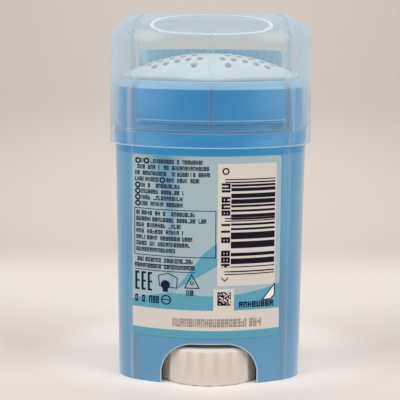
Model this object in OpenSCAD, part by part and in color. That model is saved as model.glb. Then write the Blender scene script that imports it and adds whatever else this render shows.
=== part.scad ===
// Cream stick, 40 ml: oval barrel with a clear over-cap, a perforated head,
// a fluted dial with its screw spindle, and a piston that pushes the cream up.
// Plan outline: an oval of four arcs. Every wall keeps the same four arc centres,
// so a wall is written once, as a profile of [offset from the base outline, height].
// The printed back label faces -Y. Millimetres.

/* [Outline] */
// Width of the barrel at its foot
base_w = 55.2; // [50:0.2:62]
// Depth of the barrel at its foot
base_d = 29; // [27:0.2:32]
// Radius of the narrow ends of the foot outline
end_r = 9.6; // [8.6:0.1:11]

/* [Barrel] */
// Height of the shoulder that carries the cap
shoulder_z = 75.7; // [70:0.1:86]
// How far the barrel flares on each side from foot to shoulder
flare = 0.9; // [0.3:0.1:1.6]
// Width of the shoulder step, from barrel to neck
shoulder_step = 0.8; // [0.7:0.05:1]
// Height of the neck above the shoulder
neck_h = 14.7; // [12:0.1:18]
// Height of the bevel round the mouth
bevel_h = 2.2; // [1.2:0.1:3]
// Width of the bevel round the mouth
bevel_w = 1.9; // [1:0.1:2.4]
// Width of the flat rim inside the bevel
rim_w = 0.6; // [0.4:0.05:1]
// Height of the mouth's lip, which the head's hook catches under
lip_h = 1.3; // [1:0.1:1.8]
// Thickness of the neck's wall
neck_wall = 1.4; // [1.1:0.1:1.8]
// Thickness of the wall round the open foot
foot_wall = 1.4; // [1:0.1:1.6]
// Height of the hollow under the floor
foot_h = 12.8; // [12.2:0.1:15]
// Thickness of the floor
floor_t = 1.6; // [1.2:0.1:2.4]
// Width of the two windows at the foot
window_w = 28.6; // [28:0.2:30]
// Height of the two windows
window_h = 12.5; // [11.8:0.1:12.7]
// Radius of the windows' upper corners
window_r = 9.4; // [7:0.1:11]
// Height of the snap bead's centre above the shoulder
bead_rise = 3.2; // [2.4:0.1:5]
// Radius of the snap bead's section
bead_r = 0.55; // [0.5:0.05:0.7]
// How far the snap bead stands out of the neck
bead_out = 0.4; // [0.2:0.05:0.4]
// Length of the snap bead, measured straight across
bead_l = 44; // [30:1:46]

/* [Cap] */
// Height of the cap
cap_h = 38; // [36:0.5:46]
// Wall of the cap
cap_wall = 1.2; // [1:0.1:1.6]
// How far the cap's mouth hangs below the shoulder
cap_overlap = 4.2; // [2:0.1:6]
// Running gap between the barrel and the cap's mouth
cap_gap = 0.3; // [0.2:0.05:0.5]
// How far the cap narrows on each side from its mouth to its top corner
cap_draft = 0.2; // [0:0.05:0.4]
// Radius of the cap's top corner
cap_corner_r = 9.4; // [6:0.1:11]
// Height of the seat ring inside the cap
seat_ring_h = 0.7; // [0.5:0.1:1.5]
// Width of the seat ring's bearing on the shoulder
seat_ring_bearing = 0.3; // [0.2:0.05:0.35]
// Width of the ribs inside the cap
cap_rib_w = 0.9; // [0.6:0.1:1.4]
// Height of the ribs over the cap's inner wall
cap_rib_out = 0.5; // [0.3:0.05:0.55]
// Distance of the outer ribs from the middle one
cap_rib_x = 22.7; // [15:0.1:24]
// How far the ribs' ends stay below the cap's top
cap_rib_below_top = 4.8; // [3:0.1:12]
// Radius of the thumb scoop in the cap's top edge
scoop_r = 8; // [6:0.1:12]
// How far behind the cap's wall line the scoop's axis lies
scoop_in = 0.4; // [0:0.1:3]
// How far above the cap's top the scoop's axis lies
scoop_up = 3; // [2:0.1:6]

/* [Labels] */
// Thickness of the labels
label_t = 0.1; // [0.05:0.01:0.2]
// Radius of the labels' corners
label_corner_r = 1; // [0.5:0.1:3]
// Width of the back label
back_label_w = 43.8; // [30:0.2:46]
// Height of the back label
back_label_h = 54.6; // [40:0.2:56]
// Height of the back label's lower edge
back_label_z = 14.4; // [13:0.1:15]
// How far the back label sits to the left of the middle
back_label_shift = 1.1; // [0:0.1:1.5]
// Width of the label on the far side of the cap
cap_label_w = 43.6; // [30:0.2:46]
// Height of the label on the far side of the cap
cap_label_h = 21; // [10:0.5:22]
// How far that label's upper edge stays below the cap's top
cap_label_below_top = 11.5; // [11:0.1:14]

/* [Applicator] */
// Height of the dome's crest above the rim
dome_h = 7.5; // [7.3:0.05:8]
// Radius of the dome along the width
dome_long_r = 55.6; // [50:0.2:70]
// Radius of the dome across the depth
dome_cross_r = 15.1; // [14.6:0.1:18]
// Thickness of the dome's shell
dome_t = 1.5; // [1:0.1:2]
// Depth of the skirt below the rim
skirt_depth = 4.2; // [3.4:0.1:5]
// Thickness of the skirt
skirt_t = 1.1; // [0.8:0.1:1.4]
// Fit gap between the head and the mouth
head_fit = 0.05; // [0.03:0.01:0.1]
// How far the skirt's hook stands out under the mouth's lip
hook_out = 0.25; // [0.1:0.05:0.3]
// Play between the hook and the lip
hook_play = 0.15; // [0.1:0.05:0.3]
// Height of the hook's lead-in over its reach
hook_slope = 4; // [2:0.5:5]
// Diameter of the cream holes
hole_d = 1.9; // [1:0.1:2.2]
// Pitch of the holes along the width
hole_pitch = 3.3; // [2.6:0.1:4.5]
// Pitch of the rows of holes
row_pitch = 2.86; // [2.5:0.02:4]
// Plain border outside the holes
hole_border = 2.8; // [1.6:0.1:4]
// Half width of the plain middle strip without holes
plain_half_w = 2.5; // [0:0.1:5]
// Depth of the flat on the crest
crest_flat_depth = 0.3; // [0.1:0.05:0.5]

/* [Dial] */
// How far the dial stands out of the barrel's faces at the foot
dial_proud = 1.8; // [0.8:0.1:1.8]
// Height of the dial's wheel
dial_h = 11; // [9:0.1:11.3]
// Gap between the dial and what the stick stands on
dial_lift = 0.15; // [0.1:0.05:0.5]
// Number of flutes round the dial
flute_n = 24; // [16:1:30]
// Depth of the flutes
flute_depth = 0.45; // [0.15:0.05:0.5]
// Bevel of the dial's lower edge, and the least one of its upper edge
dial_bevel = 0.4; // [0.3:0.1:1]
// Height of the cone that takes the dial's top in under the arch
dial_cone_h = 1.5; // [1.2:0.1:3]
// Gap between the dial and the arch of the window
arch_gap = 0.2; // [0.15:0.05:0.5]
// Wall of the dial, which is open below
dial_wall = 1.8; // [1.2:0.1:2.4]
// Number of webs under the dial
web_n = 6; // [4:1:8]
// Thickness of the webs
web_t = 1.2; // [0.8:0.1:2]
// How far the boss on the dial stands out over the journal
boss_out = 2.5; // [1.5:0.1:4]
// Radius of the journal that turns in the floor
journal_r = 4; // [3.8:0.1:5]
// Running fit between journal and floor
journal_fit = 0.05; // [0.02:0.01:0.1]
// End play of the dial in the floor
end_play = 0.05; // [0.03:0.01:0.1]
// How far the snap collar stands out over the journal
collar_out = 0.6; // [0.3:0.1:1]
// Height of the snap collar
collar_h = 1; // [0.6:0.1:1]
// Height of the cone above the snap collar
lead_h = 1.1; // [0.6:0.1:1.1]
// Radius of the screw spindle
spindle_r = 3.5; // [3:0.1:3.6]
// How far the spindle's end stays below the rim
spindle_below_rim = 4.4; // [4.4:0.1:8]
// Bevel of the spindle's end
spindle_tip = 1; // [0.5:0.1:2]

/* [Piston and cream] */
// Height of the piston's crown above the floor, in a full stick
crown_rise = 39.6; // [34:0.2:44]
// Thickness of the crown
crown_t = 1.5; // [1.2:0.1:2.4]
// Thickness of the piston's skirt
piston_wall = 1.2; // [1:0.1:1.6]
// Gap between the piston's skirt and the chamber
piston_gap = 0.4; // [0.3:0.05:0.6]
// Fit between the piston's wipers and the chamber
wiper_fit = 0.05; // [0.03:0.01:0.1]
// Height of each wiper
wiper_h = 0.9; // [0.6:0.1:1.5]
// Distance from wiper to wiper at the crown
wiper_pitch = 3; // [2:0.1:5]
// Gap between the piston's foot and the floor
piston_lift = 2.6; // [2.4:0.1:4]
// Clearance between the nut and the spindle
nut_clearance = 0.3; // [0.3:0.05:0.5]
// Wall of the nut
nut_wall = 1.8; // [1.4:0.1:2.6]
// Length of the nut below the crown
nut_l = 12; // [8:0.5:20]
// Thickness of the two gussets beside the nut
gusset_t = 1.2; // [0.8:0.1:2]
// Reach of the two gussets beside the nut
gusset_l = 4; // [2:0.5:4.5]
// Clearance round the cream
cream_clearance = 0.1; // [0.05:0.05:0.2]
// Gap between the cream and the head's skirt
cream_top_gap = 0.3; // [0.2:0.05:0.6]

/* [Hidden] */
$fn = 96;
// Added to cuts so that they pass right through a face
eps = 1;
// Further in than any wall, to fill a profile towards the middle
deep = 60;
// How far the round ends stay inside the long arcs where they meet
seam = 0.002;
// How far joined pieces reach into each other
fuse = 0.1;
// Steps along the cap's top corner, and facets of the small round forms
corner_steps = 12;
bead_facets = 32;
hole_facets = 24;
// How clear the cap is in a preview
cap_alpha = 0.4;

// The four-arc outline
end_x = base_w / 2 - end_r;
flat = base_d / 2 - end_r;
face_c = (end_x * end_x - flat * flat) / (2 * flat);
face_r = face_c + base_d / 2;
face_half = atan2(end_x, face_c);

// Offsets of the walls from the foot outline
shoulder_o = flare;
neck_o = shoulder_o - shoulder_step;
chamber_o = neck_o - neck_wall;
rim_o = neck_o - bevel_w;
mouth_o = rim_o - rim_w;
cap_in_o = shoulder_o + cap_gap;
cap_mouth_o = cap_in_o + cap_wall;
cap_top_o = cap_mouth_o - cap_draft;
seat_ring_o = shoulder_o - seat_ring_bearing;

// Heights
rim_z = shoulder_z + neck_h;
floor_z = foot_h + floor_t;
cap_mouth_z = shoulder_z - cap_overlap;
cap_top_z = cap_mouth_z + cap_h;
cap_corner_z = cap_top_z - cap_corner_r;
lip_z = rim_z - lip_h;
skirt_z = rim_z - skirt_depth;
crown_z = floor_z + crown_rise;
cream_top_z = skirt_z - cream_top_gap;
dome_top_z = rim_z + dome_h;

// The scoop's axis
scoop_y = scoop_in - base_d / 2 - cap_top_o;
scoop_z = cap_top_z + scoop_up;

// Points of the label side's wall line at a height
function barrel_o(z) = flare * z / shoulder_z;
function cap_o(z) = cap_mouth_o - cap_draft * (z - cap_mouth_z) / (cap_corner_z - cap_mouth_z);

// Distance from the axis to the window's edge, on the inner wall at a height
function arch_r(z) =
    let (rise = max(0, z - window_h + window_r),
         half = window_w / 2 - window_r + sqrt(max(0, window_r * window_r - rise * rise)),
         wall_r = face_r + barrel_o(z) - foot_wall)
    norm([half, sqrt(wall_r * wall_r - half * half) - face_c]);

// Whether a point of the plan lies inside the outline at an offset
function in_outline(x, y, o) =
    abs(x) > end_x
    ? norm([abs(x) - end_x, y]) < end_r + o
    : norm([x, abs(y) + face_c]) < face_r + o;

// Sweeps a profile of [offset, height] round the oval. What reaches inwards
// is filled up to the middle.
module oval_sweep() {
    for (turn = [0, 180])
        rotate([0, 0, turn]) {
            translate([end_x, 0, 0])
                rotate_extrude()
                    intersection() {
                        translate([end_r - seam, 0]) children();
                        translate([0, -deep]) square([2 * deep, 4 * deep]);
                    }
            translate([0, -face_c, 0])
                rotate([0, 0, 90 - face_half])
                    rotate_extrude(angle = 2 * face_half)
                        intersection() {
                            translate([face_r, 0]) children();
                            translate([face_c, -deep]) square([2 * deep, 4 * deep]);
                        }
        }
}

// A solid oval with an upright wall
module oval_block(o, z0, z1) {
    oval_sweep()
        translate([-deep, z0]) square([deep + o, z1 - z0]);
}

// A rectangle with round corners, in the upright plane, as a bar along Y
module round_bar(w, h, r, y0, y1) {
    translate([0, y1, 0])
        rotate([90, 0, 0])
            linear_extrude(y1 - y0) {
                translate([-w / 2 + r, 0]) square([w - 2 * r, h]);
                translate([-w / 2, r]) square([w, h - 2 * r]);
                for (x = [-w / 2 + r, w / 2 - r], z = [r, h - r])
                    translate([x, z]) circle(r);
            }
}

// The arched window, as a bar that cuts both faces
module window_bar() {
    corner_x = window_w / 2 - window_r;
    corner_z = window_h - window_r;
    translate([0, base_d, 0])
        rotate([90, 0, 0])
            linear_extrude(2 * base_d) {
                translate([-window_w / 2, -eps]) square([window_w, corner_z + eps]);
                translate([-corner_x, 0]) square([2 * corner_x, window_h]);
                for (side = [-1, 1])
                    translate([side * corner_x, corner_z]) circle(window_r);
            }
}

module barrel_outside() {
    oval_sweep()
        polygon([
            [-deep, 0], [0, 0], [shoulder_o, shoulder_z], [neck_o, shoulder_z],
            [neck_o, rim_z - bevel_h], [rim_o, rim_z], [-deep, rim_z]
        ]);
}

module barrel_chamber() {
    lip_in = chamber_o - mouth_o;
    oval_sweep()
        polygon([
            [-deep, floor_z], [chamber_o, floor_z], [chamber_o, lip_z - lip_in],
            [mouth_o, lip_z], [mouth_o, rim_z + eps], [-deep, rim_z + eps]
        ]);
}

module barrel_foot_hollow() {
    oval_sweep()
        polygon([
            [-deep, -eps], [-foot_wall, -eps], [barrel_o(foot_h) - foot_wall, foot_h],
            [-deep, foot_h]
        ]);
}

// The snap beads on the neck's two faces
module snap_beads() {
    half = asin(bead_l / 2 / (face_r + neck_o));
    for (turn = [0, 180])
        rotate([0, 0, turn])
            translate([0, -face_c, shoulder_z + bead_rise])
                rotate([0, 0, 90 - half])
                    rotate_extrude(angle = 2 * half)
                        translate([face_r + neck_o + bead_out - bead_r, 0]) circle(bead_r, $fn = bead_facets);
}

module barrel() {
    color("steelblue")
        difference() {
            union() {
                difference() {
                    barrel_outside();
                    barrel_chamber();
                    barrel_foot_hollow();
                }
                snap_beads();
            }
            window_bar();
            translate([0, 0, foot_h - eps])
                cylinder(h = floor_t + 2 * eps, r = journal_r + journal_fit);
        }
}

// The cap's outside form, or the same form further in by a wall
module cap_form(inset) {
    drop = inset > 0 ? eps : 0;
    corner_o = cap_top_o - cap_corner_r;
    r = cap_corner_r - inset;
    difference() {
        oval_sweep()
            polygon(concat(
                [
                    [-deep, cap_mouth_z - drop], [cap_mouth_o - inset, cap_mouth_z - drop],
                    [cap_mouth_o - inset, cap_mouth_z]
                ],
                [for (i = [0 : corner_steps])
                    let (a = 90 * i / corner_steps)
                    [corner_o + r * cos(a), cap_corner_z + r * sin(a)]],
                [[-deep, cap_corner_z + r]]
            ));
        translate([-base_w, scoop_y, scoop_z])
            rotate([0, 90, 0])
                cylinder(h = 2 * base_w, r = scoop_r + inset);
    }
}

// Three upright ribs on each long wall
module cap_ribs() {
    rib_top = cap_top_z - cap_rib_below_top;
    for (x = [-cap_rib_x, 0, cap_rib_x])
        translate([x - cap_rib_w / 2, -base_d, shoulder_z])
            cube([cap_rib_w, 2 * base_d, rib_top - shoulder_z]);
}

module cap() {
    color("lightblue", cap_alpha)
        difference() {
            cap_form(0);
            difference() {
                cap_form(cap_wall);
                intersection() {
                    cap_ribs();
                    difference() {
                        cap_form(cap_wall / 2);
                        cap_form(cap_wall + cap_rib_out);
                    }
                }
                difference() {
                    oval_block(cap_mouth_o, shoulder_z, shoulder_z + seat_ring_h);
                    oval_block(seat_ring_o, shoulder_z - eps, shoulder_z + seat_ring_h + eps);
                }
            }
        }
}

// The dome as part of a ring, swept about an axis that lies along Y
module dome_ring(inset) {
    translate([0, 0, dome_top_z - dome_long_r])
        rotate([90, 0, 0])
            rotate_extrude()
                translate([dome_long_r - dome_cross_r, 0]) circle(dome_cross_r - inset);
}

module cream_holes() {
    row_half = ceil(base_d / 2 / row_pitch);
    col_half = ceil(base_w / 2 / hole_pitch);
    for (row = [-row_half : row_half])
        for (col = [-col_half : col_half]) {
            x = (col + (row % 2 == 0 ? 0 : 0.5)) * hole_pitch;
            y = row * row_pitch;
            if (abs(x) > plain_half_w && in_outline(x, y, mouth_o - hole_border))
                translate([x, y, rim_z]) cylinder(h = dome_h + eps, r = hole_d / 2, $fn = hole_facets);
        }
}

module applicator() {
    out_o = mouth_o - head_fit;
    hook_z = lip_z - hook_out - hook_play;
    color("whitesmoke")
        difference() {
            union() {
                intersection() {
                    dome_ring(0);
                    oval_block(rim_o - head_fit, rim_z, dome_top_z - crest_flat_depth);
                }
                oval_sweep()
                    polygon([
                        [-deep, skirt_z], [out_o, skirt_z],
                        [out_o, hook_z - hook_slope * hook_out],
                        [out_o + hook_out, hook_z - hook_out],
                        [out_o + hook_out, hook_z - hook_out / 2],
                        [out_o, hook_z], [out_o, rim_z + fuse], [-deep, rim_z + fuse]
                    ]);
            }
            intersection() {
                dome_ring(dome_t);
                oval_block(out_o - skirt_t, skirt_z - eps, dome_top_z);
            }
            cream_holes();
        }
}

// The fluted wheel, open below, with webs
module dial_wheel() {
    top_z = dial_lift + dial_h;
    dial_r = min(base_d / 2 + dial_proud, arch_r(top_z - dial_cone_h) - arch_gap);
    top_r = min(dial_r - dial_bevel, arch_r(top_z) - arch_gap);
    half_chord = dial_r * sin(180 / flute_n);
    flute_r = (half_chord * half_chord + flute_depth * flute_depth) / (2 * flute_depth);
    hub_r = journal_r + dial_wall;
    difference() {
        rotate_extrude()
            polygon([
                [0, 0], [dial_r - dial_bevel, 0], [dial_r, dial_bevel], [dial_r, dial_h - dial_cone_h],
                [top_r, dial_h], [0, dial_h]
            ]);
        for (i = [0 : flute_n - 1])
            rotate([0, 0, 90 + (i + 0.5) * 360 / flute_n])
                translate([dial_r - flute_depth + flute_r, 0, -eps])
                    cylinder(h = dial_h + 2 * eps, r = flute_r);
        difference() {
            translate([0, 0, -eps])
                cylinder(h = dial_h - dial_wall + eps, r = dial_r - flute_depth - dial_wall);
            cylinder(h = dial_h, r = hub_r);
            for (i = [0 : web_n - 1])
                rotate([0, 0, (i + 0.5) * 360 / web_n])
                    translate([0, -web_t / 2, dial_bevel])
                        cube([dial_r, web_t, dial_h]);
        }
        translate([0, 0, -eps])
            cylinder(h = dial_h - dial_wall + eps, r = journal_r);
    }
}

module dial() {
    collar_z = floor_z + end_play;
    collar_r = journal_r + collar_out;
    boss_r = journal_r + boss_out;
    spindle_z = rim_z - spindle_below_rim;
    color("linen") {
        translate([0, 0, dial_lift]) dial_wheel();
        rotate_extrude()
            polygon([
                [0, dial_lift + dial_h - dial_wall], [boss_r, dial_lift + dial_h - dial_wall],
                [boss_r, foot_h - end_play], [journal_r, foot_h - end_play],
                [journal_r, collar_z], [collar_r, collar_z], [collar_r, collar_z + collar_h],
                [spindle_r, collar_z + collar_h + lead_h], [spindle_r, spindle_z - spindle_tip],
                [spindle_r - spindle_tip, spindle_z], [0, spindle_z]
            ]);
    }
}

module piston() {
    out_o = chamber_o - piston_gap;
    wiper_o = chamber_o - wiper_fit;
    piston_h = crown_rise - piston_lift;
    bore_r = spindle_r + nut_clearance;
    nut_r = bore_r + nut_wall;
    nut_z = piston_h - nut_l;
    ceiling_z = piston_h - crown_t;
    upper_z = piston_h - wiper_h;
    lower_z = upper_z - wiper_pitch;
    color("white")
        translate([0, 0, floor_z + piston_lift])
            difference() {
                oval_sweep()
                    polygon([
                        [-deep, 0], [wiper_o, 0], [wiper_o, wiper_h / 2],
                        [out_o, wiper_h], [out_o, lower_z], [wiper_o, lower_z + wiper_h / 2],
                        [out_o, lower_z + wiper_h], [out_o, upper_z], [wiper_o, upper_z + wiper_h / 2],
                        [wiper_o, piston_h], [-deep, piston_h]
                    ]);
                difference() {
                    oval_block(out_o - piston_wall, -eps, ceiling_z);
                    translate([0, 0, nut_z]) cylinder(h = nut_l, r = nut_r);
                    translate([0, gusset_t / 2, 0])
                        rotate([90, 0, 0])
                            linear_extrude(gusset_t)
                                polygon([
                                    [-nut_r, nut_z], [nut_r, nut_z], [nut_r + gusset_l, piston_h],
                                    [-nut_r - gusset_l, piston_h]
                                ]);
                }
                translate([0, 0, -eps])
                    cylinder(h = crown_rise + 2 * eps, r = bore_r);
            }
}

module cream() {
    color("ivory")
        difference() {
            oval_block(chamber_o - cream_clearance, crown_z + cream_clearance / 2, cream_top_z);
            translate([0, 0, crown_z - eps])
                cylinder(h = cream_top_z - crown_z + 2 * eps, r = spindle_r + nut_clearance);
        }
}

// A thin skin on a long wall, between two heights, from two wall offsets
module face_skin(o0, z0, o1, z1) {
    translate([0, -face_c, 0])
        rotate([0, 0, 90 - face_half])
            rotate_extrude(angle = 2 * face_half)
                polygon([
                    [face_r + o0, z0], [face_r + o0 + label_t, z0],
                    [face_r + o1 + label_t, z1], [face_r + o1, z1]
                ]);
}

module back_label() {
    top_z = back_label_z + back_label_h;
    color("powderblue")
        intersection() {
            rotate([0, 0, 180])
                face_skin(barrel_o(back_label_z - eps), back_label_z - eps, barrel_o(top_z + eps), top_z + eps);
            translate([-back_label_shift, 0, back_label_z])
                round_bar(back_label_w, back_label_h, label_corner_r, -base_d, 0);
        }
}

module cap_label() {
    top_z = cap_top_z - cap_label_below_top;
    low_z = top_z - cap_label_h;
    color("skyblue")
        intersection() {
            face_skin(cap_o(low_z - eps), low_z - eps, cap_o(top_z + eps), top_z + eps);
            translate([0, 0, low_z])
                round_bar(cap_label_w, cap_label_h, label_corner_r, 0, base_d);
        }
}

barrel();
cap();
applicator();
dial();
piston();
cream();
back_label();
cap_label();
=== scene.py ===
# %% [markdown]
# # A cream stick, dressed for its portrait
# The frame below is the packed solid model of an oval cream stick: a blue barrel, a clear
# over-cap, a domed head with holes, a fluted dial with its spindle, a piston, the cream and
# two film labels. Every solid keeps its place and size. This script gives the parts smooth
# skins, adds the thread on the spindle, and works out each finish from nodes.

# %% Load the frame
import math

import bmesh
import bpy
import numpy as np
from mathutils import Matrix, Vector


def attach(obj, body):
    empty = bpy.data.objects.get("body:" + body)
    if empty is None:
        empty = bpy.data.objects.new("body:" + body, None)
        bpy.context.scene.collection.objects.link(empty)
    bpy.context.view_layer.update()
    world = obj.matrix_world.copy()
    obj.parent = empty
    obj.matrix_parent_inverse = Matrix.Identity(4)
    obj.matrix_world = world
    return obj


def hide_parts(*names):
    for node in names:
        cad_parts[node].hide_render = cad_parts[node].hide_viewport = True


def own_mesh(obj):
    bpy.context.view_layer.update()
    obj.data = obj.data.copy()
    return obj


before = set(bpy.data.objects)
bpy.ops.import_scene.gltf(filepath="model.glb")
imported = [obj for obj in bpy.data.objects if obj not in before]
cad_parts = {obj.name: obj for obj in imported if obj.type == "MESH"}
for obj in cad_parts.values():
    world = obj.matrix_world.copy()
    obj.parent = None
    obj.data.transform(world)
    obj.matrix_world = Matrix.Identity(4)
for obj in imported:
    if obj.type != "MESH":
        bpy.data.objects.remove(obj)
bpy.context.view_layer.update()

MM = 0.001

# %% [markdown]
# ## The camera
# The photograph looks at the printed side from a little above. A camera can be placed by eye,
# but then every comparison is off by an unknown amount. So the focal length, the tilt and the
# distance come from fitting the seams of the stick, whose real heights are known: a 119 mm
# lens, 10 degrees down, 0.4 m from the axis. The stick stands a little right of the middle, so
# the camera stands 3 mm to the left of it, and it is turned by a third of a degree.

# %% Place the camera
LENS = 119.0
PITCH = math.radians(10.0)
ROLL = math.radians(0.35)
AIM = Vector((-3.0, 0.0, 53.6)) * MM
DISTANCE = 399.9 * MM
NEAREST_SEEN = 10 * MM

ahead = Vector((0, math.cos(PITCH), -math.sin(PITCH)))
across = Vector((1, 0, 0))
above = across.cross(ahead)
right = across * math.cos(ROLL) + above * math.sin(ROLL)
top = above * math.cos(ROLL) - across * math.sin(ROLL)
camera = bpy.data.objects.new("camera", bpy.data.cameras.new("camera"))
bpy.context.collection.objects.link(camera)
camera.data.lens = LENS
camera.data.clip_start = NEAREST_SEEN
camera.matrix_world = Matrix.Translation(AIM - ahead * DISTANCE) @ Matrix(
    (right, top, -ahead)).transposed().to_4x4()
bpy.context.scene.camera = camera
bpy.context.scene.view_settings.view_transform = "Standard"
print("camera at, mm:", [round(v / MM, 1) for v in camera.matrix_world.translation])

# %% [markdown]
# ## Colours and sums
# A finish is a tree of nodes. It could be clicked together by hand, but shader maths reads best
# as sums, so a small class wraps a socket and lets Python's own operators add the Math nodes:
# 1 - mask is one Subtract node. A colour is written as a screen shows it and turned into the
# linear light that a shader counts in.

# %% Wrap sockets
def srgb(red, green, blue):
    """A colour written as 0 to 255 on a screen, as the linear colour that the shader wants."""
    level = np.array([red, green, blue]) / 255
    linear = np.where(level <= 0.04045, level / 12.92, ((level + 0.055) / 1.055) ** 2.4)
    return (*map(float, linear), 1.0)


class Wire:
    """A socket of a finish. Operators on it add Math nodes and give the new socket."""

    def __init__(self, finish, socket):
        self.finish, self.socket = finish, socket

    def math(self, operation, *terms):
        """One Math node with the given terms."""
        return self.finish.node("ShaderNodeMath", {"operation": operation}, list(terms))

    def __add__(self, other): return self.math("ADD", self, other)
    def __radd__(self, other): return self.math("ADD", other, self)
    def __sub__(self, other): return self.math("SUBTRACT", self, other)
    def __rsub__(self, other): return self.math("SUBTRACT", other, self)
    def __mul__(self, other): return self.math("MULTIPLY", self, other)
    def __rmul__(self, other): return self.math("MULTIPLY", other, self)
    def __truediv__(self, other): return self.math("DIVIDE", self, other)
    def __pow__(self, other): return self.math("POWER", self, other)
    def __lt__(self, other): return self.math("LESS_THAN", self, other)
    def __gt__(self, other): return self.math("GREATER_THAN", self, other)
    def __abs__(self): return self.math("ABSOLUTE", self)
    def floor(self): return self.math("FLOOR", self)
    def sine(self): return self.math("SINE", self)
    def most(self, other): return self.math("MAXIMUM", self, other)
    def least(self, other): return self.math("MINIMUM", self, other)
    def fract(self): return self.math("FRACT", self)


print("middle grey in linear light:", round(srgb(128, 128, 128)[0], 3))

# %% [markdown]
# ## One shader for a finish
# Each plastic, paper or cream here is one Principled shader with a few nodes in front of it.
# What is the same all over goes straight onto the shader's own sockets, where the export finds
# it. Any node that isn't a sum could be added line by line, but one method that takes its type,
# its settings and what goes into its sockets keeps every recipe short.

# %% Build finishes
class Finish:
    """A material with one Principled shader; the constants go straight onto its sockets."""

    # Where the Mix node keeps its colour sockets, among those for numbers and vectors.
    MIX_SHARE, MIX_A, MIX_B, MIX_RESULT = 0, 6, 7, 2

    def __init__(self, name, **constants):
        self.material = bpy.data.materials.new(name)
        self.material.use_nodes = True
        self.tree = self.material.node_tree
        self.shader = next(n for n in self.tree.nodes if n.type == "BSDF_PRINCIPLED")
        for socket, value in constants.items():
            self.put(self.shader.inputs[socket.replace("_", " ")], value)

    def put(self, socket, value):
        """A link where the value is a Wire, otherwise a constant."""
        if isinstance(value, Wire):
            self.tree.links.new(value.socket, socket)
        else:
            socket.default_value = value

    def node(self, kind, settings=None, sockets=None, out=0):
        """A new node: its settings first, then its sockets by name or in order."""
        made = self.tree.nodes.new(kind)
        for key, value in (settings or {}).items():
            setattr(made, key, value)
        pairs = sockets.items() if isinstance(sockets, dict) else enumerate(sockets or [])
        for key, value in pairs:
            self.put(made.inputs[key], value)
        return Wire(self, made.outputs[out])

    def place(self):
        """Object coordinates as three sockets, in millimetres."""
        point = self.node("ShaderNodeTexCoord", out="Object")
        axes = [self.node("ShaderNodeSeparateXYZ", None, [point], out) for out in range(3)]
        return [axis * (1 / MM) for axis in axes]

    def cells(self, x, y, z, scale=1.0, detail=2.0):
        """Smooth noise at a point, about 0.5 on average; scale is in features a millimetre."""
        point = self.node("ShaderNodeCombineXYZ", None, [x, y, z])
        return self.node("ShaderNodeTexNoise", None,
                         {"Vector": point, "Scale": scale, "Detail": detail})

    def dice(self, number):
        """A random number from 0 to 1 that is the same wherever the given number is."""
        return self.node("ShaderNodeTexWhiteNoise", {"noise_dimensions": "1D"}, {"W": number})

    def colours(self, share, first, second):
        """The first colour where share is 0, the second where it is 1."""
        return self.node("ShaderNodeMix", {"data_type": "RGBA"},
                         {self.MIX_SHARE: share, self.MIX_A: first, self.MIX_B: second},
                         self.MIX_RESULT)

    def feed(self, socket, value):
        """Puts a value or a link into a socket of the Principled shader."""
        self.put(self.shader.inputs[socket], value)

    def bump(self, height, depth, strength=1.0):
        """Feeds the normal from a height of 0 to 1, depth in millimetres."""
        self.feed("Normal", self.node("ShaderNodeBump", None, {
            "Height": height, "Distance": depth * MM, "Strength": strength}))

    def dress(self, thing):
        """Makes this the one material of an object."""
        thing.data.materials.clear()
        thing.data.materials.append(self.material)
        print(f"{self.material.name} on {thing.name}: {len(self.tree.nodes)} nodes")


print("methods of a finish:", ", ".join(key for key in vars(Finish) if key.islower()
                                         and not key.startswith("_")))

# %% [markdown]
# ## Moulded skins
# The packed meshes are loose triangles, so a long curved wall would catch the light in flat
# bands. It could be modelled again with more faces, but then it would no longer be the solid.
# So each part gets a copy whose triangles are welded into one skin. Its normals run smoothly
# over a curved wall and break where the real part has an edge, and its points are the solid's.

# %% Weld the skins
WELD = 0.001
EDGE_ANGLE, FLUTE_ANGLE = 32.0, 20.0


def moulded_skin(node, name, body, edge_angle=EDGE_ANGLE):
    """The node's triangles, with vertices closer than WELD made one.

    Two faces share a smooth normal where they turn by less than edge_angle degrees.
    """
    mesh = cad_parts[node].data.copy()
    mesh.name = name
    work = bmesh.new()
    work.from_mesh(mesh)
    bmesh.ops.remove_doubles(work, verts=work.verts, dist=WELD * MM)
    work.to_mesh(mesh)
    work.free()
    mesh.shade_smooth()
    mesh.set_sharp_from_angle(angle=math.radians(edge_angle))
    skin = bpy.data.objects.new(name, mesh)
    bpy.context.collection.objects.link(skin)
    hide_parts(node)
    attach(skin, body)
    print(f"{name}: {len(mesh.vertices)} points, {len(mesh.polygons)} triangles")
    return skin


barrel_skin = moulded_skin("barrel", "barrel_skin", "barrel")
cap_skin = moulded_skin("cap", "cap_skin", "cap")
head_skin = moulded_skin("applicator", "head_skin", "barrel")
dial_skin = moulded_skin("dial", "dial_skin", "dial", FLUTE_ANGLE)
piston_skin = moulded_skin("piston", "piston_skin", "piston")
cream_skin = moulded_skin("cream", "cream_skin", "piston")
back_label_skin = moulded_skin("back_label", "back_label_skin", "barrel")
cap_label_skin = moulded_skin("cap_label", "cap_label_skin", "cap")

# %% [markdown]
# ## From a grid to a mesh
# What the solid model leaves to this script is worked out as a grid of points: a shape is a
# function of two parameters. The points could be joined one by one in a loop, which is slow
# and hard to read. Instead the faces are cut out of one array of indexes, and foreach_set
# hands each array over at once.

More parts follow.
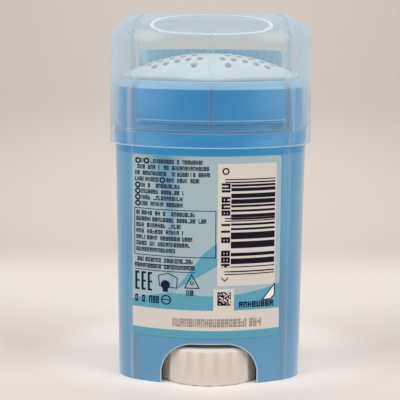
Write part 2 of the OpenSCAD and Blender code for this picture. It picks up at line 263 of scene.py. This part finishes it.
# %% Turn a grid into a mesh
def skin_from_grid(name, points, close_across=False):
    """A mesh from a grid of points (rows, columns, 3): one quad for each cell of the grid.

    Where close_across is true, the last column is joined to the first.
    """
    rows, columns = points.shape[:2]
    index = np.arange(rows * columns).reshape(rows, columns)
    if close_across:
        index = np.concatenate([index, index[:, :1]], axis=1)
    quads = np.stack([index[:-1, :-1], index[:-1, 1:], index[1:, 1:], index[1:, :-1]], axis=-1)
    quads = quads.reshape(-1, 4)
    mesh = bpy.data.meshes.new(name)
    mesh.vertices.add(rows * columns)
    mesh.vertices.foreach_set("co", points.reshape(-1).astype(np.float32))
    mesh.loops.add(quads.size)
    mesh.loops.foreach_set("vertex_index", quads.reshape(-1).astype(np.int32))
    mesh.polygons.add(len(quads))
    mesh.polygons.foreach_set("loop_start", np.arange(0, quads.size, 4, dtype=np.int32))
    mesh.update(calc_edges=True)
    mesh.shade_smooth()
    made = bpy.data.objects.new(name, mesh)
    bpy.context.collection.objects.link(made)
    print(f"{name}: {rows} rows of {columns} points, {len(quads)} quads")
    return made


print("grids can be turned into meshes")

# %% [markdown]
# ## The screw thread
# The spindle carries a rounded thread, four millimetres a turn, that lifts the piston. It could
# be cut by Boolean steps, but a thread is simply a small profile carried along a helix. The
# grid has one row for each step along the helix and one column for each point of the profile,
# and the crest fades into the spindle at both ends.

# %% Carry the thread
THREAD_LEAD = 4.0
THREAD_FOOT, THREAD_TOP = 18.0, 83.5
SPINDLE_R = 3.5
THREAD_OUT, THREAD_HALF = 0.22, 0.75
THREAD_ROOT, THREAD_BACK = 0.03, 0.15
STEPS_A_TURN, PROFILE_POINTS = 40, 12


def thread_grid():
    """Helix z = foot + lead * turn / (2 pi); across it a closed profile of a raised cosine.

    The crest stands THREAD_OUT over the root, times a fade that is 0 at both ends. The root
    and the profile's back lie inside the spindle.
    """
    turns = (THREAD_TOP - THREAD_FOOT) / THREAD_LEAD
    turn = np.linspace(0, 2 * np.pi * turns, int(turns * STEPS_A_TURN))[:, None]
    across = np.linspace(0, 2 * np.pi, PROFILE_POINTS + 1)[:-1][None, :]
    fade = np.clip(np.minimum(turn, turn[-1] - turn) / np.pi, 0, 1)
    crest = np.clip(np.cos(across), 0, 1)
    back = np.clip(-np.cos(across), 0, 1)
    radius = SPINDLE_R + THREAD_OUT * crest * fade - THREAD_BACK * back - THREAD_ROOT
    height = THREAD_FOOT + THREAD_LEAD * turn / (2 * np.pi) + THREAD_HALF * np.sin(across)
    angle = turn + 0 * across
    return np.stack([radius * np.cos(angle), radius * np.sin(angle), height + 0 * angle], -1) * MM


screw_thread = skin_from_grid("screw_thread", thread_grid(), close_across=True)
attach(screw_thread, "dial")
print("thread turns:", (THREAD_TOP - THREAD_FOOT) / THREAD_LEAD)

# %% [markdown]
# ## Blue barrel
# The barrel is coloured right through: a satin blue plastic. On the neck under the cap its blue
# is painted deeper, as painted shade under the cap. One flat colour would look like paint, since
# a moulding is never one tone. So its colour drifts slightly over centimetres and its gloss over
# millimetres, and a very fine grain breaks up the reflections. The bevel round the mouth, the
# snap bead's edges and the window's lip are painted paler: painted highlights where they catch
# the light.

# %% Mix the blue
# Over the first height the blue is painted deeper, painted shade under the cap; over the bevel
# and rim heights it is painted paler, painted highlights.
CAP_SHADE_Z, BEVEL_Z, RIM_Z = 69.2, 88.2, 90.15
BEAD_Z, BEAD_HALF, BEAD_HIGHLIGHT = 78.9, 22.0, (0.22, 0.42)
ARCH_HALF, ARCH_TOP, ARCH_R, ARCH_LIP_HIGHLIGHT = 14.3, 12.5, 9.4, (-0.05, 0.3)


def between(value, low, high):
    """1 where value lies between low and high, otherwise 0."""
    return (value > low) * (value < high)


def satin_blue():
    """Blue, painted deeper on the neck as shade and paler as highlights on bevel, bead and lip.

    The lip is where the distance to a rounded rectangle, the window's outline, is near 0.
    """
    finish = Finish("satin_blue", IOR=1.49, Sheen_Weight=1.0, Sheen_Roughness=0.45)
    x, y, z = finish.place()
    drift = finish.cells(x, y, z, scale=0.05, detail=1.0)
    look = finish.colours(drift, srgb(74, 136, 179), srgb(90, 151, 190))
    # Painted shade: the neck under the cap is painted a deeper blue.
    look = finish.colours(0.97 * (z > CAP_SHADE_Z), look, srgb(0, 132, 184))
    # Painted highlight along the lip of the window, where the distance to its outline is small.
    side = (abs(x) - (ARCH_HALF - ARCH_R)).most(0.0)
    rise = (z - (ARCH_TOP - ARCH_R)).most(0.0)
    lip = between((side ** 2.0 + rise ** 2.0) ** 0.5 - ARCH_R, *ARCH_LIP_HIGHLIGHT)
    # Painted highlights on the snap bead's edges and on the upward-facing bevel round the mouth.
    bead = between(abs(z - BEAD_Z), *BEAD_HIGHLIGHT) * (abs(x) < BEAD_HALF)
    bevel = 0.55 * (z > BEVEL_Z) + 0.3 * (z > RIM_Z)
    # All the painted highlights together, mixed towards a pale blue.
    pale = bevel.most(0.5 * bead).most(0.6 * lip)
    finish.feed("Base Color", finish.colours(pale, look, srgb(206, 226, 238)))
    finish.feed("Roughness", 0.36 + 0.12 * finish.cells(x, y, z, scale=0.6))
    finish.bump(finish.cells(x, y, z, scale=9.0), depth=0.004)
    return finish


satin_blue().dress(barrel_skin)

# %% [markdown]
# ## White mouldings
# The head, the dial and the piston are white plastic. The dial is the warmest of them. Three
# separate materials could be written out, but it is one recipe with other numbers: a slow
# drift of tone, a faint cloud in the gloss and the fine texture of a polished mould.

# %% Mould the whites
def moulded_white(name, pale, deep, gloss, grain):
    """White plastic: tone drifts from pale to deep, roughness is gloss plus a faint cloud."""
    finish = Finish(name, IOR=1.46)
    x, y, z = finish.place()
    drift = finish.cells(x, y, z, scale=0.08)
    finish.feed("Base Color", finish.colours(drift, pale, deep))
    finish.feed("Roughness", gloss + 0.1 * finish.cells(x, y, z, scale=0.8))
    finish.bump(finish.cells(x, y, z, scale=7.0), depth=grain)
    return finish


head_white = moulded_white("head_white", srgb(228, 224, 223), srgb(216, 212, 212),
                           gloss=0.28, grain=0.003)
dial_white = moulded_white("dial_white", srgb(218, 207, 198), srgb(208, 197, 188),
                           gloss=0.34, grain=0.004)
piston_white = moulded_white("piston_white", srgb(238, 238, 236), srgb(228, 228, 226),
                             gloss=0.4, grain=0.006)
head_white.dress(head_skin)
dial_white.dress(dial_skin)
dial_white.dress(screw_thread)
piston_white.dress(piston_skin)

# %% [markdown]
# ## The cream
# A firm white cream with the soft sheen of wax. A plain white would look like chalk, because
# light goes a little way into wax before it comes back. So some subsurface scattering softens
# it, and two sizes of noise give it an uneven tone and a slightly lumpy skin.

# %% Fill the cream
def firm_cream():
    """Cream: tone from one noise, roughness 0.45 to 0.6 from a finer one, and soft lumps."""
    finish = Finish("firm_cream", IOR=1.44, Subsurface_Weight=0.15, Subsurface_Scale=0.002)
    x, y, z = finish.place()
    tone = finish.cells(x, y, z, scale=0.3, detail=3.0)
    finish.feed("Base Color", finish.colours(tone, srgb(246, 244, 238), srgb(238, 235, 227)))
    finish.feed("Roughness", 0.45 + 0.15 * finish.cells(x, y, z, scale=1.2))
    finish.bump(finish.cells(x, y, z, scale=1.5, detail=3.0), depth=0.05)
    return finish


firm_cream().dress(cream_skin)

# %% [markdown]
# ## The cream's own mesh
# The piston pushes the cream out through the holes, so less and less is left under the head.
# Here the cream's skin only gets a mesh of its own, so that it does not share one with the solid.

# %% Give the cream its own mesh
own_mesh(cream_skin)

# %% [markdown]
# ## The clear cap
# The cap is a thin shell of clear plastic with a little milk in it. Face on, light goes nearly
# straight through. At a glancing angle its path in the wall is long, so the milk shows: that is
# why the cap's sides and every rib and edge look white. True refraction through such a thin
# wall is slow and noisy, so a mix of straight-through light and milk stands in for it. The
# mouth, the seat ring and the crisp edge of the thumb scoop get painted highlights: fine lines
# of extra, whiter milk.

# %% Clear the cap
MOUTH_Z, SEAT_Z, CROWN_Z, CROWN_HIGH = 71.75, 75.7, 102.0, 8.0
# The mouth, seat and scoop bands hold painted highlight lines.
SEAT_LINE_Z, SEAT_HIGHLIGHT = 76.05, (0.25, 0.42)
SCOOP_Y, SCOOP_Z, SCOOP_HIGHLIGHT = -16.3, 112.5, (8.02, 8.35)
SIDE_MILK, SIDE_POWER = 0.78, 1.4


def clear_blue():
    """Share of milk = SIDE_MILK facing^SIDE_POWER + crown + painted highlight lines at the edges.

    Below the seat there is less of it, and shadow rays meet about half, so the cap's shadow
    is soft. The rest goes straight through, under a thin gloss.
    """
    finish = Finish("clear_blue", IOR=1.49, Roughness=0.25)
    x, y, z = finish.place()
    facing = finish.node("ShaderNodeLayerWeight", None, {"Blend": 0.5}, "Facing")
    from_scoop = ((y - SCOOP_Y) ** 2.0 + (z - SCOOP_Z) ** 2.0) ** 0.5
    # Painted highlights: fine white lines at the scoop's edge, the seat ring and the mouth.
    ring = between(from_scoop, *SCOOP_HIGHLIGHT)
    seat = between(abs(z - SEAT_LINE_Z), *SEAT_HIGHLIGHT)
    lines = (0.55 * (z < MOUTH_Z)).most(0.3 * seat).most(0.65 * ring)
    shade = finish.node("ShaderNodeLightPath", out="Is Shadow Ray")
    crown = ((z - CROWN_Z) / CROWN_HIGH).most(0.0).least(1.0)
    cloud = finish.cells(x, y, z, scale=0.15)
    milk = 0.008 * cloud + SIDE_MILK * facing ** SIDE_POWER + 0.12 * crown + lines
    milk = milk * (1.0 - 0.4 * (z < SEAT_Z)) * (1.0 - 0.45 * shade)
    # The painted highlight lines get a whiter colour.
    finish.feed("Base Color", finish.colours(lines, srgb(214, 228, 238), srgb(252, 253, 255)))
    glow = finish.node("ShaderNodeBsdfTranslucent", None, {"Color": srgb(204, 224, 239)})
    body = finish.node("ShaderNodeMixShader", None,
                       [0.4, Wire(finish, finish.shader.outputs[0]), glow])
    straight = finish.node("ShaderNodeBsdfTransparent", None, {"Color": srgb(248, 253, 255)})
    shell = finish.node("ShaderNodeMixShader", None, [milk, straight, body])
    gloss = finish.node("ShaderNodeBsdfGlossy", None, {"Roughness": 0.12})
    final = finish.node("ShaderNodeMixShader", None, [0.01 + 0.12 * facing ** 4.0, shell, gloss])
    finish.put(finish.tree.nodes["Material Output"].inputs["Surface"], final)
    finish.bump(finish.cells(x, y, z, scale=0.5), depth=0.01, strength=0.4)
    return finish


clear_blue().dress(cap_skin)

# %% [markdown]
# ## A print made of tests
# The back label is a glossy film, printed in flat colours: a pale field with two sea-green
# waves, a white panel with bars, a frame of small print, a row of small signs and a white strip
# with a stamped row. It could be a picture on a UV map, but then its edges would blur close up.
# Here each shape is a test on the place of a point, in millimetres: 1 inside and 0 outside. A
# product joins two tests, the larger of two adds one to another, and edges stay sharp.

# %% Test for flat shapes
def patch(x, z, left, right, low, high):
    """1 inside a rectangle: x between left and right, z between low and high."""
    return between(x, left, right) * between(z, low, high)


def frame_line(x, z, left, right, low, high, width):
    """1 on the outline of a rectangle: the whole of it less one that is width smaller."""
    inner = patch(x, z, left + width, right - width, low + width, high - width)
    return patch(x, z, left, right, low, high) - inner


def depth_inside(x, z, corners):
    """How deep a point lies in a convex outline, in mm: the least distance to a side.

    The corners run clockwise, so the inner normal of a side (dx, dz) is (dz, -dx).
    """
    depth = None
    for (x0, z0), (x1, z1) in zip(corners, corners[1:] + corners[:1]):
        span = math.hypot(x1 - x0, z1 - z0)
        side = (x - x0) * ((z1 - z0) / span) + (z - z0) * ((x0 - x1) / span)
        depth = side if depth is None else depth.least(side)
    return depth


def reach(x, z, across, up):
    """The distance from the point (across, up), in mm."""
    return ((x - across) ** 2.0 + (z - up) ** 2.0) ** 0.5


print("tests for flat shapes: rectangle, frame, convex outline, circle")

# %% [markdown]
# ### Small print that says nothing
# Small print could be typed as text, but this label is to look printed and to say nothing. So
# each cell of a grid throws one random number, and its bits switch on the two posts and the
# three rungs of a sign. Each row has its own end, so a block gets a ragged edge and the grey
# tone of print.

# %% Set small print
LEFT_POST, RIGHT_POST, ALL_POSTS = (0.0, 0.34), (0.54, 0.84), (0.0, 0.88)
LOW_RUNG, MID_RUNG, HIGH_RUNG, ALL_RUNGS = (0.12, 0.31), (0.38, 0.57), (0.65, 0.84), (0.12, 0.84)
NO_POST, NO_RUNG, NO_SIGN = 0.12, 0.35, 0.1
ROW_STRIDE = 53.0


def stairs(number, values):
    """values[k] where number is k: the first value and every step up to k."""
    total = values[0]
    for k, (last, here) in enumerate(zip(values, values[1:])):
        total = total + (here - last) * (number > k + 0.5)
    return total


def small_print(finish, along, down, start, top, pitch, ends, wide, seed):
    """Rows of signs that say nothing; row k runs from start to ends[k].

    A stroke is there where a bit of the cell's random number is set: bit k is fract(number
    2^k), and it counts as set over a level. A number under NO_SIGN is a space.
    """
    row = (top - down) / pitch
    number = row.floor()
    place = (along - start) / wide
    column = place.floor()
    u, v = place - column, row - number
    code = finish.dice(number * ROW_STRIDE + column + seed)

    def stroke(where, span, bit, level):
        """1 inside the span, where the cell's bit is set."""
        return between(where, *span) * ((code * 2.0 ** bit).fract() > level)

    posts = stroke(u, LEFT_POST, 1, NO_POST).most(stroke(u, RIGHT_POST, 2, NO_POST))
    rungs = stroke(v, LOW_RUNG, 3, NO_RUNG).most(stroke(v, MID_RUNG, 4, NO_RUNG))
    rungs = rungs.most(stroke(v, HIGH_RUNG, 5, NO_RUNG)) * between(u, *ALL_POSTS)
    ink = posts.most(rungs) * between(v, *ALL_RUNGS) * (code > NO_SIGN)
    return ink * between(row, 0.0, len(ends)) * (place > 0.0) * (along < stairs(number, ends))


print("different signs that five bits allow:", 2 ** 5)

# %% [markdown]
# ### The label's field
# The field is printed in flat inks with soft forms. They could be painted by hand, but curves
# that are written down stay smooth: the wave's edge is a parabola with a ramp added at its left
# end, and the crescent lies between straight lines.

# %% Lay the field
def label_field(finish, x, z):
    """Pale field, a soft darker band at the upper left, the wave and the crescent.

    The band's share falls off linearly from a line that bends with the square of the height.
    """
    drift = finish.cells(x, z, 0.0, scale=0.03, detail=1.0)
    field = finish.colours(drift, srgb(158, 181, 190), srgb(170, 190, 197))
    rise = (z - 38.0).most(0.0) / 30.0
    band = (1.15 - abs(x + 11.2 + 2.4 * rise ** 2.0) / (1.2 + 5.0 * rise ** 2.0)).most(0.0)
    field = finish.colours(band.least(1.0) * (0.35 + 0.55 * rise), field, srgb(92, 150, 177))
    swell = (-0.16 * (x + 2.0)).most(0.0).least(1.7)
    wave = z < 27.4 + 0.0072 * x * abs(x) + swell
    over = x + 1.6
    crescent = (z < 40.5 + (0.8 * over).least(1.32 * over)) * (z > 34.2 + 0.6 * over) * (x < 3.0)
    return finish.colours(wave.most(crescent), field, srgb(92, 160, 184))


print("field inks, linear:", [round(level, 2) for level in srgb(158, 181, 190)[:3]],
      [round(level, 2) for level in srgb(92, 160, 184)[:3]])

# %% [markdown]
# ### Small signs
# A row of small signs stands under the text: tall posts with rungs, a pentagon with a drop, a
# triangle with a dot, and a ring with a bar. They could be curves laid on the film, but a line
# is simply where the depth inside an outline is small, so the same test draws every one.

# %% Draw the small signs
LINE = (0.0, 0.3)
POSTS_LEFT, POSTS_LOW, POSTS_HIGH, POST_PITCH = -22.2, 28.2, 33.9, 1.9
PENTAGON = [(-15.0, 29.9), (-15.3, 33.2), (-12.3, 34.1), (-9.4, 32.7), (-9.6, 29.4)]
TRIANGLE = [(-7.6, 29.6), (-5.3, 34.2), (-2.9, 29.6)]


def label_marks(finish, x, z):
    """1 on the small signs: outlines by depth, discs and rings by distance."""
    post = ((x - POSTS_LEFT) / POST_PITCH).fract()
    rung = between(z, 33.2, POSTS_HIGH).most(between(z, 30.7, 31.3))
    rung = rung.most(between(z, POSTS_LOW, 28.8))
    tall = (post < 0.36).most(rung * (post < 0.7))
    tall = tall * patch(x, z, POSTS_LEFT, -16.9, POSTS_LOW, POSTS_HIGH)
    five = between(depth_inside(x, z, PENTAGON), *LINE)
    drop = (reach(x, z, -13.1, 30.4) < 1.4).most(patch(x, z, -13.9, -12.3, 28.2, 30.4))
    three = between(depth_inside(x, z, TRIANGLE), 0.0, 0.33)
    dot = between(reach(x, z, -5.25, 31.2), 0.3, 0.6)
    ring = between(reach(x, z, -12.9, 25.8), 1.1, 1.5)
    ring = ring.most(patch(x, z, -14.2, -11.6, 25.7, 26.0))
    marks = tall.most(five).most(drop).most(three).most(dot).most(ring)
    marks = marks.most(small_print(finish, x, z, start=-6.9, top=29.4, pitch=2.4,
                                   ends=[-4.6], wide=1.1, seed=11.0))
    return marks.most(small_print(finish, x, z, start=-22.2, top=27.1, pitch=3.1,
                                  ends=[-15.0], wide=1.05, seed=17.0))


print("small signs: posts, pentagon, triangle, ring; corners:", len(PENTAGON) + len(TRIANGLE))

# %% [markdown]
# ### Rows of text
# Three blocks of small print: rows with round signs before them, a framed block, and two
# underlined rows. One call could fill the label, but each block has its own size of sign and
# its own ragged right edge, so each gets its own list of ends.

# %% Set the rows
TEXT_TOP, TEXT_PITCH = 68.1, 1.82
NO_ROUND = 40.0
ROUND_X = [-21.2, NO_ROUND, NO_ROUND, -14.0, -21.3, -21.3, -21.3, -21.3]
TEXT_ENDS = [-2.2, -0.4, -0.1, -2.8, -8.9, -7.7, -8.0, -8.0]
FRAMED_ENDS = [-4.5, -0.7, -8.5, -7.9, -5.2, -5.1, -10.2]
LAST_ENDS = [-5.0, -4.4]
ROUND_CLEAR, ROUND_LINE = 1.1, (0.4, 0.9)


def label_text(finish, x, z):
    """1 on the ink: rows with round signs, rows in a frame, and rows that are underlined.

    Row k's round sign sits at ROUND_X[k], off the label where the row has none.
    """
    row = (TEXT_TOP - z) / TEXT_PITCH
    middle = (row.fract() - 0.5) * TEXT_PITCH
    first = reach(x - stairs(row.floor(), ROUND_X), middle, 0.0, 0.0)
    second = reach(x, z, -18.7, 67.2)
    text = small_print(finish, x, z, start=-22.2, top=TEXT_TOP, pitch=TEXT_PITCH,
                       ends=TEXT_ENDS, wide=0.78, seed=3.0)
    text = text * (first > ROUND_CLEAR) * (second > ROUND_CLEAR)
    text = text.most(between(first, *ROUND_LINE) * between(row, 0.0, float(len(TEXT_ENDS))))
    text = text.most(between(second, *ROUND_LINE))
    text = text.most(small_print(finish, x, z, start=-21.8, top=52.6, pitch=1.84,
                                 ends=FRAMED_ENDS, wide=0.8, seed=210.0))
    text = text.most(small_print(finish, x, z, start=-22.3, top=38.6, pitch=1.9,
                                 ends=LAST_ENDS, wide=0.8, seed=400.0))
    lines = between(z, 36.15, 36.4).most(between(z, 34.35, 34.6)) * between(x, -22.3, -4.4)
    return text.most(lines).most(frame_line(x, z, -22.4, 1.8, 38.9, 53.1, width=0.25))


print("rows of small print:", len(TEXT_ENDS) + len(FRAMED_ENDS) + len(LAST_ENDS))

# %% [markdown]
# ### Bars and cells
# A panel of bars and a small square of cells, as on most packets. Placing every bar by hand
# would be long and dull, so a random number decides for each thin slice whether it is a bar,
# and for each small square whether it is inked. Only the three longer pairs of bars are placed.

# %% Rule the bars
SLICE, CELL = 0.34, 0.36
BAR_LEVEL, CELL_LEVEL = 0.4, 0.46
GUARD_Z, GUARD_APART, GUARD_HALF = (34.4, 50.4, 61.9), 0.4, 0.17


def label_code(finish, x, z):
    """Bars with three longer pairs, a column of signs beside them, and a field of cells."""
    bars = patch(x, z, 6.1, 19.1, 34.6, 61.8) * (
        finish.dice((z / SLICE).floor() + 40.0) > BAR_LEVEL)
    low, middle, high = [abs(abs(z - guard) - GUARD_APART) for guard in GUARD_Z]
    pairs = low.least(middle).least(high) < GUARD_HALF
    bars = bars.most(pairs * between(x, 4.3, 19.1))
    column = small_print(finish, z * -1.0, x, start=-61.2, top=6.3, pitch=3.6,
                         ends=[-36.0], wide=2.0, seed=123.0)
    column = column * (abs(z - GUARD_Z[1]) > 1.2)
    ring = between(reach(x, z, 4.5, 64.7), 0.6, 1.05)
    arrow = between(z - 32.3 - abs(x - 4.4), -0.55, -0.1) * (abs(x - 4.4) < 1.0)
    cells = finish.dice((x / CELL).floor() * 31.7 + (z / CELL).floor()) > CELL_LEVEL
    cells = cells.most(x < 2.65).most(z < 24.9) * patch(x, z, 2.3, 6.3, 24.5, 28.7)
    return bars.most(column).most(ring).most(arrow).most(cells)


print("slices for bars:", round((61.8 - 34.6) / SLICE))

# %% [markdown]
# ### The finished label
# The layers are laid as on a press: the field, the white panels, the corner that looks turned
# up, the dark ink, the bars and last the grey stamp. A separate film for each would catch the
# light at its edges, so they are mixed into one colour under one thin gloss.

# %% Print the back label
PAPER, INK, BAR_INK = srgb(216, 208, 202), srgb(4, 22, 58), srgb(6, 4, 28)
FOLD, STAMP = srgb(238, 238, 238), srgb(140, 118, 106)
CORNER = [(15.3, 25.7), (19.5, 30.9), (19.5, 27.0), (18.2, 25.7)]


def film_gloss(finish, x, y, z):
    """Roughness 0.32 plus a faint cloud, and a shallow wave in the film."""
    finish.feed("Roughness", 0.32 + 0.1 * finish.cells(x, y, z, scale=0.5))
    finish.bump(finish.cells(x, z, 0.0, scale=1.2), depth=0.004)


def printed_back():
    """Each layer's colour goes over the one before where the layer's test is 1."""
    finish = Finish("printed_back", IOR=1.4, Specular_IOR_Level=0.2, Coat_Weight=0.05)
    x, y, z = finish.place()
    panels = patch(x, z, 2.2, 19.4, 30.5, 66.9).most(patch(x, z, 1.1, 7.2, 22.0, 29.6))
    panels = panels.most(between(z, 16.8, 23.0))
    look = finish.colours(panels, label_field(finish, x, z), PAPER)
    corner = depth_inside(x, z, CORNER)
    look = finish.colours(corner > 0.0, look, FOLD)
    marks = label_marks(finish, x, z).most(between(corner, 0.0, 0.35))
    marks = marks.most(small_print(finish, x, z, start=8.7, top=25.9, pitch=2.6,
                                   ends=[19.2], wide=1.3, seed=77.0))
    look = finish.colours(marks.most(label_text(finish, x, z)), look, INK)
    look = finish.colours(label_code(finish, x, z), look, BAR_INK)
    stamp = small_print(finish, x, z, start=-11.0, top=20.9, pitch=3.6,
                        ends=[15.5], wide=1.2, seed=71.0)
    finish.feed("Base Color", finish.colours(0.8 * stamp, look, STAMP))
    film_gloss(finish, x, y, z)
    return finish


printed_back().dress(back_label_skin)

# %% [markdown]
# ## The label on the cap
# A second film label sits on the far side of the cap. From the photographed side only its pale
# blue back shows, through two walls of clear plastic. It could be left blank, but it is seen
# from behind, so it gets a plain print by the same tests: a pale field, a wave and two rules.

# %% Print the cap label
def printed_cap():
    """The wave's edge is z = 84 + 2.2 sin(0.13 x) + 0.05 x; the rules are thin rectangles."""
    finish = Finish("printed_cap", IOR=1.5, Coat_Weight=0.3, Coat_Roughness=0.12)
    x, y, z = finish.place()
    drift = finish.cells(x, z, 0.0, scale=0.04, detail=1.0)
    look = finish.colours(drift, srgb(212, 230, 238), srgb(222, 236, 242))
    wave = z < 84.0 + 2.2 * (x * 0.13).sine() + 0.05 * x
    look = finish.colours(wave, look, srgb(84, 158, 192))
    rules = between(abs(x), 0.0, 17.0) * (between(z, 91.0, 91.5).most(between(z, 88.6, 88.9)))
    finish.feed("Base Color", finish.colours(rules, look, srgb(44, 86, 140)))
    film_gloss(finish, x, y, z)
    return finish


printed_cap().dress(cap_label_skin)

# %% [markdown]
# ## Floor and backdrop
# The stick stands on a pale table top in front of a slightly darker warm wall. Two planes would
# meet in a hard line, so both are one swept sheet, and its wide bend gives the soft edge behind
# the stick. The sheet is wide enough for a camera at the side.

# %% Sweep the backdrop
BEND_R, BEND_POINTS = 0.06, 25
FRONT_Y, LEVEL_Y, WALL_Y, WALL_HIGH = -2.0, -0.2, 0.24, 0.9
SHEET_HALF = 9.0


def backdrop_grid():
    """A profile carried along X, in metres: level, then a quarter circle, then upright."""
    angle = np.linspace(0, np.pi / 2, BEND_POINTS)
    y = np.concatenate([[FRONT_Y, LEVEL_Y], WALL_Y - BEND_R + BEND_R * np.sin(angle), [WALL_Y]])
    z = np.concatenate([[0, 0], BEND_R - BEND_R * np.cos(angle), [WALL_HIGH]])
    x = np.linspace(SHEET_HALF, -SHEET_HALF, 3)[:, None]
    return np.stack([x + 0 * y, y + 0 * x, z + 0 * x], -1)


backdrop = skin_from_grid("backdrop", backdrop_grid())

# %% [markdown]
# ### The card's tones
# The table is painted palest round the stick, a painted pool of light that lightens the stick's
# shadow, and the wall is painted darker towards its sides, as painted shade. Lamps could do
# that, but then they would also change the stick. So the tones are in the card's own colour.
# The card is see-through from its back, so that a camera behind the wall still sees the stick.

# %% Tone the card
def studio_card():
    """Floor to wall over a soft edge; painted light and shade make both palest near the stick.
    Distances are in mm.
    """
    finish = Finish("studio_card", Roughness=0.75, Specular_IOR_Level=0.2)
    x, y, z = finish.place()

    def ramp(value, start, end):
        """0 at start, 1 at end, and s-shaped between them."""
        return finish.node("ShaderNodeMapRange", {"interpolation_type": "SMOOTHSTEP"},
                           {"Value": value, "From Min": start, "From Max": end})

    floor = finish.colours(ramp(y, 90.0, -60.0), srgb(224, 219, 213), srgb(216, 207, 199))
    # Painted light: a pale pool round the stick's foot that lightens its shadow.
    near = ramp(reach(x * 0.8, y, 0.0, 22.0), 52.0, 26.0)
    floor = finish.colours(near, floor, srgb(246, 240, 235))
    # Painted shade: the wall darkens towards its sides.
    wall = finish.colours(ramp(abs(x), 20.0, 150.0), srgb(207, 199, 193), srgb(196, 186, 180))
    finish.feed("Base Color", finish.colours(ramp(y, 115.0, 200.0), floor, wall))
    finish.feed("Alpha", 1.0 - finish.node("ShaderNodeNewGeometry", out="Backfacing"))
    return finish


studio_card().dress(backdrop)

# %% [markdown]
# ## Soft light
# The stick is lit by three soft boxes: one on each side, and a small one overhead that whitens
# the bevel round the mouth, which is also painted pale, and the top of the cap. A single lamp
# would leave one side dark and a hard shadow, and large lamps at a distance keep both soft.

# %% Hang the lamps
AIMED_AT = (0, 0, 0.05)
SIDE_SIZE, SIDE_POWER_W = 1.1, 20.5
TOP_SIZE, TOP_POWER_W = 0.35, 1.2


def soft_box(name, place, size, power):
    """A square lamp at a place in metres, turned so that its -Z looks at AIMED_AT."""
    lamp = bpy.data.lights.new(name, "AREA")
    lamp.shape, lamp.size, lamp.energy = "SQUARE", size, power
    box = bpy.data.objects.new(name, lamp)
    bpy.context.collection.objects.link(box)
    box.location = place
    box.rotation_euler = (Vector(AIMED_AT) - Vector(place)).to_track_quat("-Z", "Y").to_euler()
    print(f"{name}: {size} m wide, {power} W")


soft_box("left_box", (-1.35, -0.75, 1.2), SIDE_SIZE, SIDE_POWER_W)
soft_box("right_box", (1.35, -0.75, 1.2), SIDE_SIZE, SIDE_POWER_W)
soft_box("top_box", (0, -0.25, 0.85), TOP_SIZE, TOP_POWER_W)

# %% [markdown]
# ### The room
# A pale room fills the shadows. One level for all rays would either flatten the stick or leave
# grey reflections, so the room is dim as a light and pale where it is seen or mirrored.

# %% Fill the room
ROOM_LIGHT, ROOM_SEEN = 0.3, 0.85


def pale_room():
    """World strength = ROOM_SEEN for camera and glossy rays, ROOM_LIGHT for all others."""
    world = bpy.data.worlds.new("pale_room")
    world.use_nodes = True
    tree = world.node_tree
    back = tree.nodes["Background"]
    back.inputs["Color"].default_value = srgb(250, 248, 246)
    level = tree.nodes.new("ShaderNodeMapRange")
    level.inputs["To Min"].default_value = ROOM_LIGHT
    level.inputs["To Max"].default_value = ROOM_SEEN
    seen = tree.nodes.new("ShaderNodeLightPath")
    both = tree.nodes.new("ShaderNodeMath")
    both.operation = "MAXIMUM"
    tree.links.new(seen.outputs["Is Glossy Ray"], both.inputs[0])
    tree.links.new(seen.outputs["Is Camera Ray"], both.inputs[1])
    tree.links.new(both.outputs[0], level.inputs["Value"])
    tree.links.new(level.outputs["Result"], back.inputs["Strength"])
    return world


bpy.context.scene.world = pale_room()
print("room level, as light and as seen:", ROOM_LIGHT, ROOM_SEEN)
